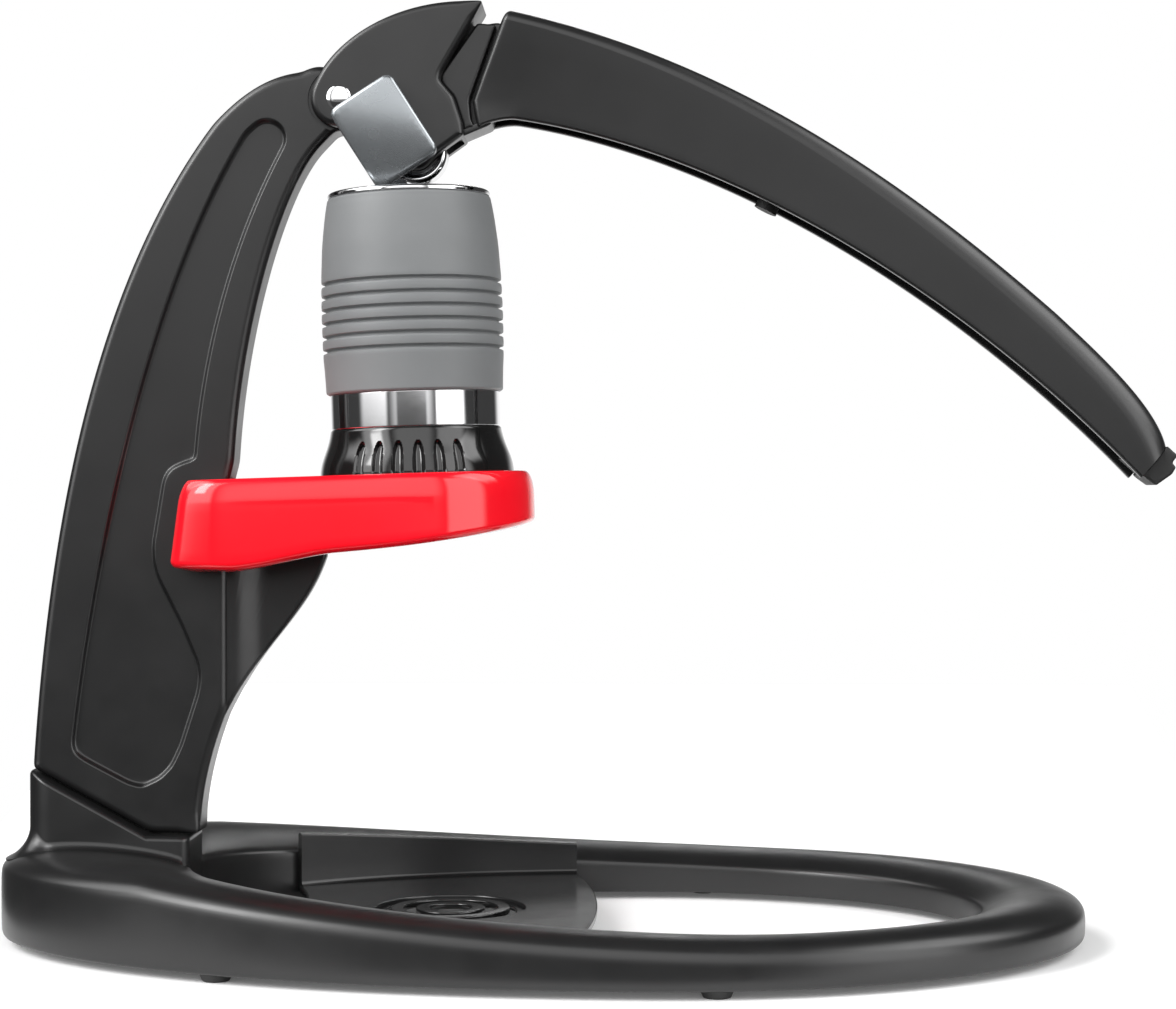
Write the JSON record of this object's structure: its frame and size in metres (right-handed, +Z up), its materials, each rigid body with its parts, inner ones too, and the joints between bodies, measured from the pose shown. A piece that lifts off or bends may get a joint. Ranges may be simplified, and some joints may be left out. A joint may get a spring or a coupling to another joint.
{
  "type": "manual lever espresso maker",
  "caption": "Hand-pressed lever espresso maker: curved post on an oval base ring, red bracket with brew head and piston, long channel lever with roller.",
  "frame": {"origin": "on the floor under the middle of the overall box", "axes": "+X from the post towards the lever's tip, +Y to the far side in the picture, +Z up"},
  "size_m": [0.318, 0.173, 0.2538],
  "materials": {
    "black_plastic": "satin",
    "rubber": "matte",
    "bolt_steel": "satin",
    "red_paint": "gloss",
    "gloss_black": "gloss",
    "steel": "brushed",
    "polished_steel": "polished",
    "silicone": "matte",
    "bronze": "satin",
    "grey_metal": "satin"
  },
  "bodies": {
    "stand": {"base_ring": "black_plastic", "rubber_feet": "rubber", "post": "black_plastic", "post_bolts": "bolt_steel", "brew_bracket": "red_paint", "bracket_bolt": "bolt_steel", "portafilter_base": "gloss_black", "portafilter_basket": "steel", "basket_gasket": "rubber", "dispersion_screen": "steel", "spout": "steel", "brew_cylinder": "polished_steel", "silicone_sleeve": "silicone", "pivot_pin": "steel", "pivot_grub_screw": "bolt_steel", "thrust_washers": "steel"},
    "lever": {"lever_head": "black_plastic", "lever_handle": "black_plastic", "handle_screws": "bolt_steel", "handle_bumper": "rubber", "handle_end_cap": "rubber", "pivot_bushes": "bronze"},
    "yoke": {"yoke_cheeks": "grey_metal", "yoke_pin": "steel"},
    "roller": {"pressure_roller": "polished_steel"},
    "plunger": {"piston": "gloss_black", "piston_seals": "rubber", "piston_stem": "steel", "stem_cap": "steel"},
    "tray": {"drip_tray": "black_plastic"},
    "grate": {"drip_grate": "black_plastic"}
  },
  "joints": [
    {"name": "lever_pivot", "type": "hinge", "parent": "stand", "child": "lever", "pos_m": [-0.06638, 0, 0.2277], "axis": [0, -1, 0], "range_deg": [0, 60]},
    {"name": "yoke_swivel", "type": "hinge", "parent": "lever", "child": "yoke", "pos_m": [-0.04598, 0, 0.2136], "axis": [0, -1, 0], "range_deg": [-60, 0]},
    {"name": "roller_spin", "type": "hinge", "parent": "yoke", "child": "roller", "pos_m": [-0.04598, 0, 0.2136], "axis": [0, 1, 0], "continuous": true},
    {"name": "piston_slide", "type": "slide", "parent": "stand", "child": "plunger", "axis": [-0.0314, 0, 0.9995], "range_m": [0, 0.0234]},
    {"name": "tray_lift", "type": "slide", "parent": "stand", "child": "tray", "axis": [0, 0, 1], "range_m": [0, 0.05]},
    {"name": "grate_lift", "type": "slide", "parent": "tray", "child": "grate", "axis": [0, 0, 1], "range_m": [0, 0.03]}
  ],
  "couplings": [
    {"joint": "yoke_swivel", "follows": "lever_pivot", "ratio": -1},
    {"joint": "piston_slide", "follows": "lever_pivot", "m_per_rad": 0.0223}
  ]
}
